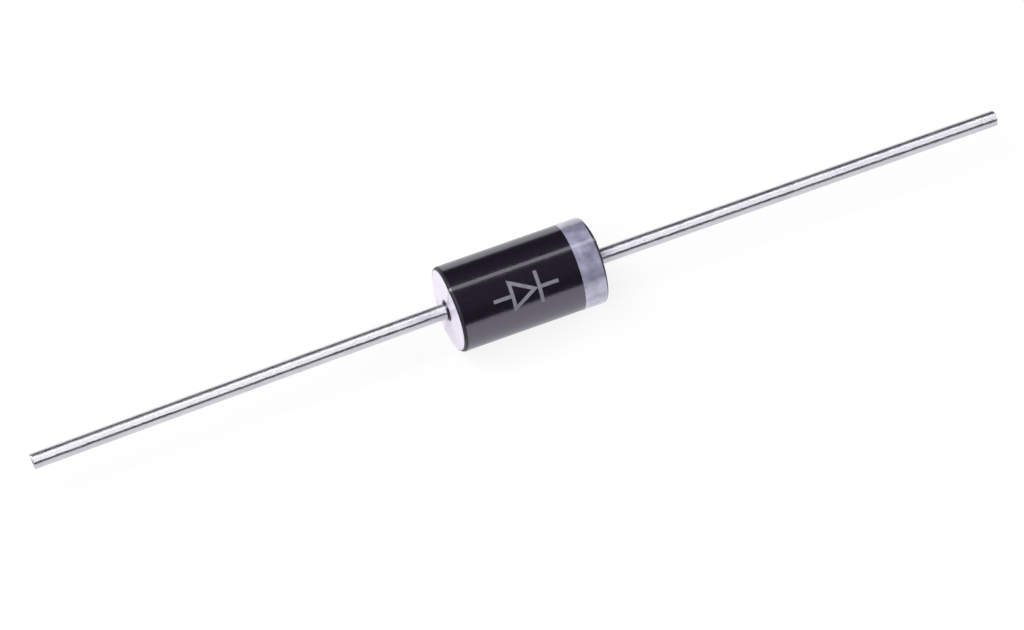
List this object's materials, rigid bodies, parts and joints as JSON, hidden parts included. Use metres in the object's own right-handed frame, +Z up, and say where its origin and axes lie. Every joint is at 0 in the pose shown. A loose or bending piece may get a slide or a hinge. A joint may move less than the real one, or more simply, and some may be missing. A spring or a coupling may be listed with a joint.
{
  "type": "axial rectifier diode",
  "caption": "Axial-lead rectifier diode: a black moulded cylinder with a silver band at its cathode end and a straight tinned lead out of each end.",
  "frame": {"origin": "middle of the moulded body, on the common axis of the two leads", "axes": "+X along the leads towards the cathode end with the band, +Z up with the body lying on its side, +Y completes a right-handed frame"},
  "size_m": [0.062, 0.0054, 0.0054],
  "materials": {
    "mould_compound": "polished mould finish, black epoxy moulding compound",
    "band_ink": "printed silver ink, satin",
    "tinned_wire": "bright tin plating drawn along the wire",
    "silicon": "lapped silicon with a glass edge",
    "solder": "dull soft solder",
    "silicone": "white silicone rubber"
  },
  "bodies": {
    "root": {"moulded_body": "mould_compound", "cathode_band": "band_ink", "anode_lead": "tinned_wire", "cathode_lead": "tinned_wire", "silicon_chip": "silicon", "anode_solder": "solder", "cathode_solder": "solder", "junction_coating": "silicone"}
  },
  "joints": []
}
